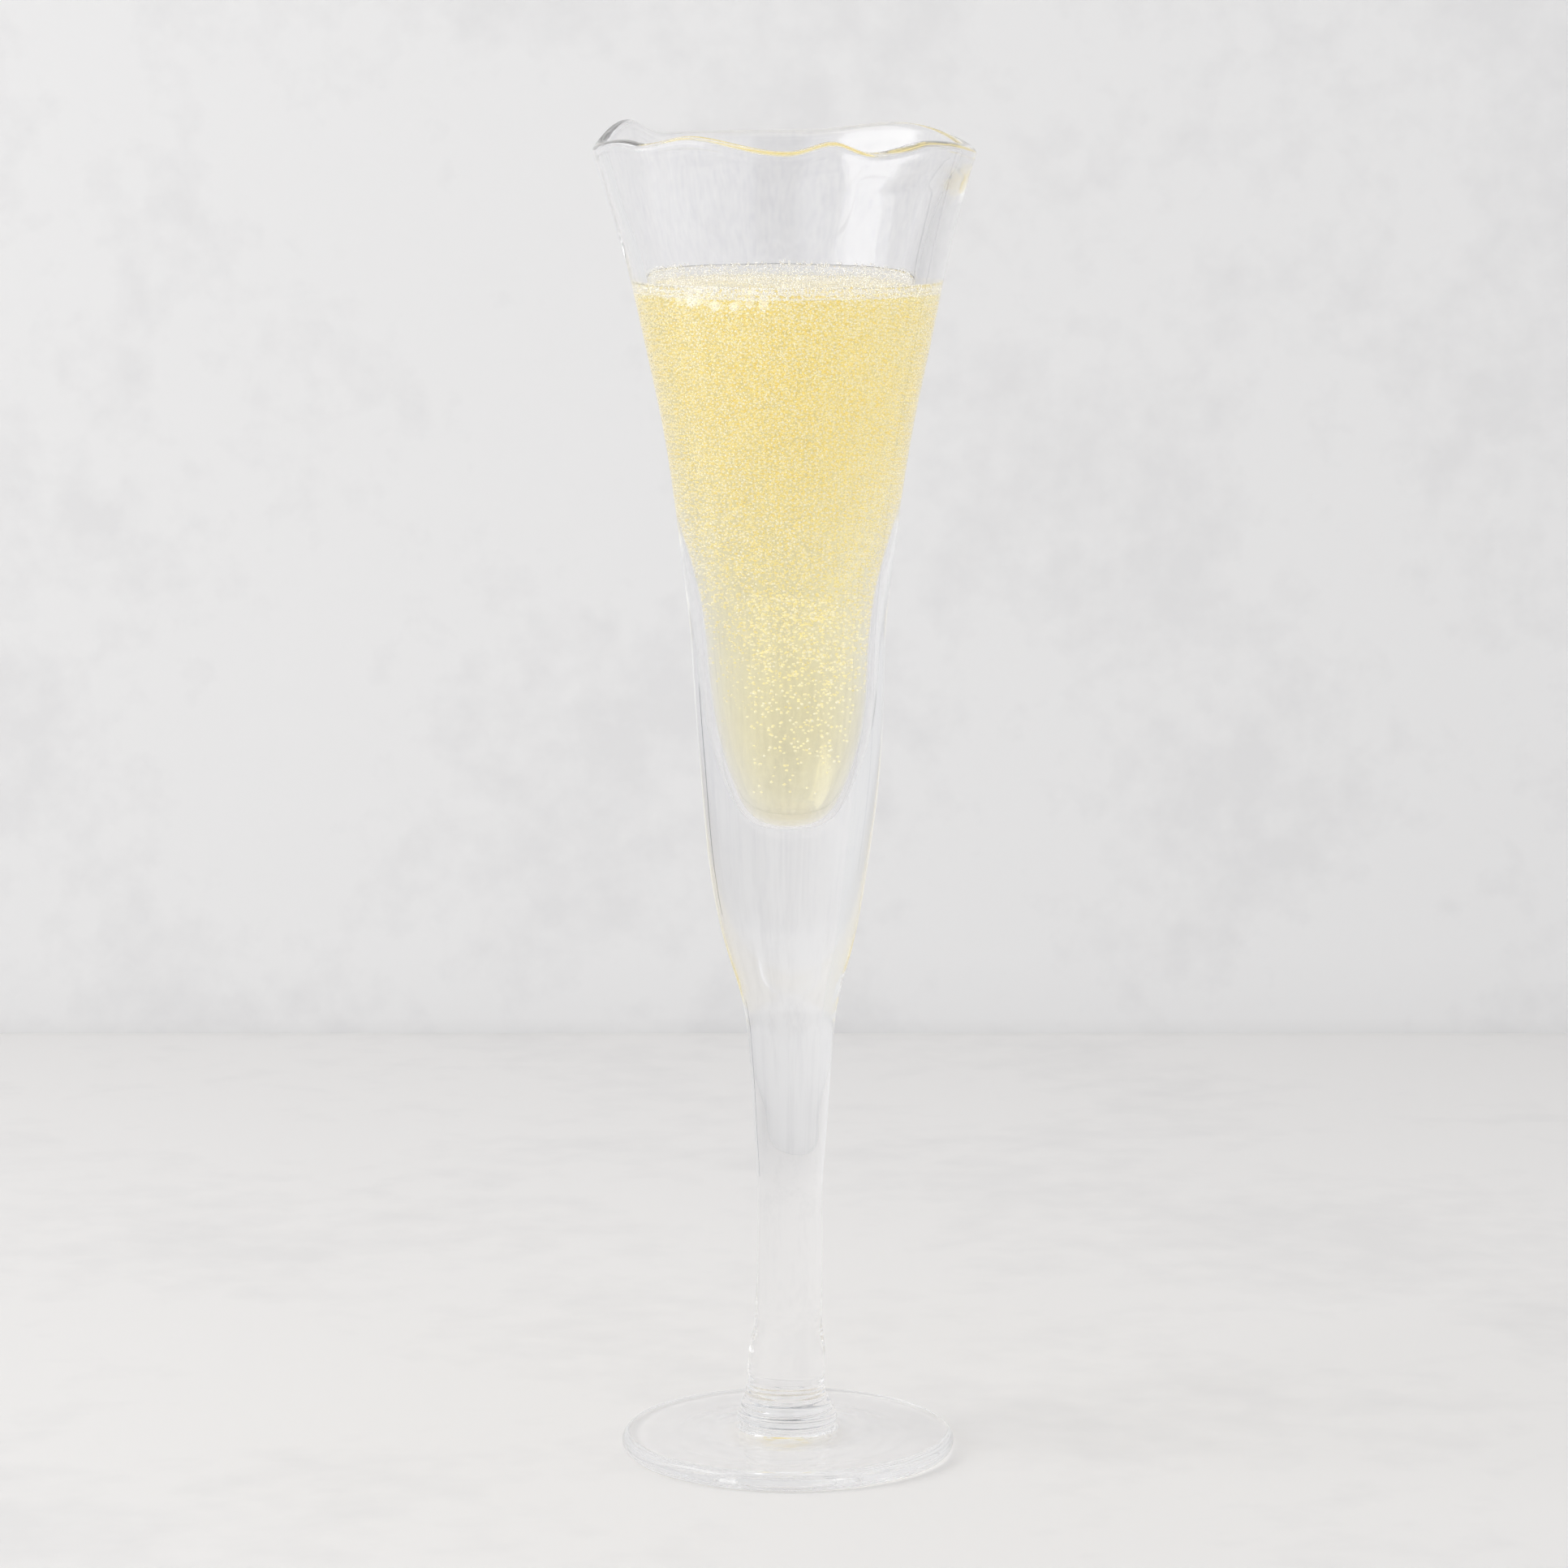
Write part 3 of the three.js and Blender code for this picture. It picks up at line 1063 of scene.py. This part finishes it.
class FLUTE_OT_stage(Operator):
    """Set the table, the wall, the soft lights and the camera"""

    bl_idname = "flute.stage"
    bl_label = "Set the stage"

    def execute(self, context):
        settings = context.scene.flute_stage
        scene = context.scene
        wall = settings.wall
        floor = -0.05 * MM  # just clear of the foot
        reach, half, top = 3, 1.4, 1.2  # of the table each way, and the wall's half width and height
        table_top = plaster(
            "table_plaster",
            light=(0.845, 0.83, 0.815),
            shade=(0.80, 0.787, 0.776),
            scale=9,
            # Painted shade darkens the table towards the foot of the wall.
            corner=("Y", wall),
            fade=0.25,
        )
        self.sheet(
            "table",
            table_top,
            [(-reach, -reach), (reach, -reach), (reach, reach), (-reach, reach)],
            lambda x, y: (x, y, floor),
        )
        wall_face = plaster(
            "wall_plaster",
            light=(0.95, 0.941, 0.93),
            shade=(0.895, 0.886, 0.879),
            scale=14,
            # Painted shade darkens the wall towards the table.
            corner=("Z", 0),
            fade=0.02,
            see_through_back=True,
        )
        self.sheet(
            "wall",
            wall_face,
            [(-half, floor), (half, floor), (half, top), (-half, top)],
            lambda x, z: (x, wall, z),
        )
        self.sky(scene, settings)
        self.lamp("key", (-0.95, -0.25, 0.75), (0, 0, 0.12), 0.8, 0.8, 3.4)
        for name, middle, turn, width, span, glow in CARDS:
            self.card(name, middle, turn, width, span, glow)
        self.flag(0.3, 0.19)
        camera = bpy.data.objects.new("camera", bpy.data.cameras.new("camera"))
        camera.data.lens = settings.lens
        camera.data.sensor_width = 36
        aside = -0.74 * MM  # the camera stands a hair left of the flute
        camera.location = (aside, -settings.distance, settings.height)
        camera.rotation_euler = (math.radians(90) - settings.tilt, 0, 0)
        scene.collection.objects.link(camera)
        scene.camera = camera
        scene.view_settings.view_transform = "Standard"
        bounces = 64  # light crosses many walls of glass and drink
        scene.cycles.max_bounces = bounces
        scene.cycles.transmission_bounces = bounces
        scene.cycles.glossy_bounces = bounces
        scene.cycles.diffuse_bounces = 6
        scene.cycles.blur_glossy = 0
        scene.cycles.transparent_max_bounces = 16
        return {"FINISHED"}

    def sheet(self, name, material, corners, place):
        """A flat stage sheet with one face."""
        mesh = bpy.data.meshes.new(name)
        mesh.from_pydata([place(*corner) for corner in corners], [], [(0, 1, 2, 3)])
        mesh.materials.append(material)
        piece = bpy.data.objects.new(name, mesh)
        bpy.context.scene.collection.objects.link(piece)
        return piece

    def lamp(self, name, place, target, width, height, power):
        """A soft rectangular light."""
        light = bpy.data.lights.new(name, "AREA")
        light.shape = "RECTANGLE"
        light.size, light.size_y = width, height
        light.energy = power
        lamp = bpy.data.objects.new(name, light)
        lamp.location = place
        aim = np.array(target) - np.array(place)
        lamp.rotation_euler = (
            math.acos(-aim[2] / np.linalg.norm(aim)),
            0,
            math.atan2(-aim[0], aim[1]),
        )
        lamp.visible_camera = False
        bpy.context.scene.collection.objects.link(lamp)

    def card(self, name, middle, turn, width, span, glow):
        """An upright glowing card with soft borders, which only the glass mirrors and bends.

        middle is its place in plan, turn its heading in degrees and span its lower and upper edge.
        """
        material = bpy.data.materials.new(name)
        material.use_nodes = True
        nodes = Nodes(material.node_tree)
        material.node_tree.nodes.remove(material.node_tree.nodes["Principled BSDF"])
        place = nodes.add("ShaderNodeTexCoord").outputs["UV"]
        apart = nodes.add("ShaderNodeSeparateXYZ", {"Vector": place}).outputs
        border = 0.14  # share of the card that its soft edge takes up
        mask = 1.0
        for axis in ("X", "Y"):
            for outer, inner in ((0, border), (1, 1 - border)):
                edge = nodes.add(
                    "ShaderNodeMapRange",
                    {"Value": apart[axis], 1: outer, 2: inner},
                    interpolation_type="SMOOTHSTEP",
                )
                mask = nodes.times(mask, edge.outputs[0])
        lit = nodes.add("ShaderNodeEmission", {"Strength": glow}).outputs[0]
        clear = nodes.add("ShaderNodeBsdfTransparent").outputs[0]
        mix = nodes.add("ShaderNodeMixShader", {0: mask, 1: clear, 2: lit})
        output = nodes.tree.nodes["Material Output"]
        nodes.tree.links.new(mix.outputs["Shader"], output.inputs["Surface"])
        turn = math.radians(turn)
        across = (math.cos(turn), math.sin(turn))
        half = width / 2
        card = self.sheet(
            name,
            material,
            [(-half, span[0]), (half, span[0]), (half, span[1]), (-half, span[1])],
            lambda u, z: (middle[0] + u * across[0], middle[1] + u * across[1], z),
        )
        card.data.uv_layers.new(name="card").uv.foreach_set("vector", (0, 0, 1, 0, 1, 1, 0, 1))
        self.hide_from_view(card)

    def flag(self, x, y):
        """A narrow dark strip behind the flute that draws a fine dark line down the glass."""
        material, nodes, surface = new_material("flag_cloth")
        surface.inputs["Base Color"].default_value = (0.25, 0.25, 0.27, 1)
        surface.inputs["Roughness"].default_value = 0.9
        half, top, slant = 6 * MM, 0.16, 0.7
        strip = self.sheet(
            "flag",
            material,
            [(-half, 0), (half, 0), (half, top), (-half, top)],
            lambda across, z: (x + slant * across, y - slant * across, z),
        )
        self.hide_from_view(strip)

    def hide_from_view(self, piece):
        """Leaves a stage piece to be mirrored and bent by the glass only."""
        piece.visible_camera = False
        piece.visible_diffuse = False
        piece.visible_shadow = False

    def sky(self, scene, settings):
        """A pale room all round: a little brighter on the left, greyer behind the camera.

        The camera itself sees an even backdrop instead of the room.
        """
        world = bpy.data.worlds.new("room")
        world.use_nodes = True
        scene.world = world
        nodes = Nodes(world.node_tree)
        away = nodes.add("ShaderNodeTexCoord").outputs["Generated"]
        apart = nodes.add("ShaderNodeSeparateXYZ", {"Vector": away}).outputs
        left, right, near, far = 1.09, 1.05, 0.75, 1.02  # how bright each side is
        across = {"Value": apart["X"], 1: -1, 2: 1, 3: left, 4: right}
        side = nodes.add("ShaderNodeMapRange", across)
        along_view = {"Value": apart["Y"], 1: -1, 2: 0.6, 3: near, 4: far}
        front = nodes.add("ShaderNodeMapRange", along_view)
        level = nodes.times(side.outputs[0], front.outputs[0])
        facing = {0: away, 1: DUSK_TOWARDS}
        facing = nodes.add("ShaderNodeVectorMath", facing, operation="DOT_PRODUCT")
        dusk = nodes.add(
            "ShaderNodeMapRange",
            {"Value": facing.outputs["Value"], 1: 0.93, 2: 0.97, 3: 1, 4: settings.dusk},
            interpolation_type="SMOOTHSTEP",
        )
        level = nodes.times(level, dusk.outputs[0])
        tone = nodes.ramp(level, (0.5, (0.82, 0.88, 1.0)), (1, (1, 1, 1)))
        lit = world.node_tree.nodes["Background"]
        nodes.tree.links.new(tone, lit.inputs["Color"])
        nodes.tree.links.new(level, lit.inputs["Strength"])
        seen = nodes.add("ShaderNodeBackground", {"Color": (0.93, 0.925, 0.92, 1), "Strength": 1})
        straight = nodes.add("ShaderNodeLightPath").outputs["Is Camera Ray"]
        mix = nodes.add("ShaderNodeMixShader", {0: straight, 1: lit.outputs[0], 2: seen.outputs[0]})
        output = world.node_tree.nodes["World Output"]
        nodes.tree.links.new(mix.outputs["Shader"], output.inputs["Surface"])


OPERATORS = (FLUTE_OT_stage, FLUTE_OT_glass, FLUTE_OT_drink, FLUTE_OT_bubbles, FLUTE_OT_froth)


class FLUTE_PT_panel(Panel):
    """The flute's operators and settings"""

    bl_label = "Champagne flute"
    bl_space_type = "VIEW_3D"
    bl_region_type = "UI"
    bl_category = "Flute"

    def draw(self, context):
        layout, scene = self.layout, context.scene
        for operator in OPERATORS:
            layout.operator(operator.bl_idname)
        for group in (scene.flute_glass, scene.flute_drink, scene.flute_stage):
            box = layout.box()
            for name in group.__annotations__:
                box.prop(group, name)


CLASSES = (FluteGlassSettings, FluteDrinkSettings, FluteStageSettings, *OPERATORS, FLUTE_PT_panel)


def register():
    for item in CLASSES:
        bpy.utils.register_class(item)
    bpy.types.Scene.flute_glass = PointerProperty(type=FluteGlassSettings)
    bpy.types.Scene.flute_drink = PointerProperty(type=FluteDrinkSettings)
    bpy.types.Scene.flute_stage = PointerProperty(type=FluteStageSettings)


def unregister():
    del bpy.types.Scene.flute_stage
    del bpy.types.Scene.flute_drink
    del bpy.types.Scene.flute_glass
    for item in reversed(CLASSES):
        bpy.utils.unregister_class(item)


def main():
    register()
    for operator in OPERATORS:
        group, name = operator.bl_idname.split(".")
        getattr(getattr(bpy.ops, group), name)()


if __name__ == "__main__":
    main()
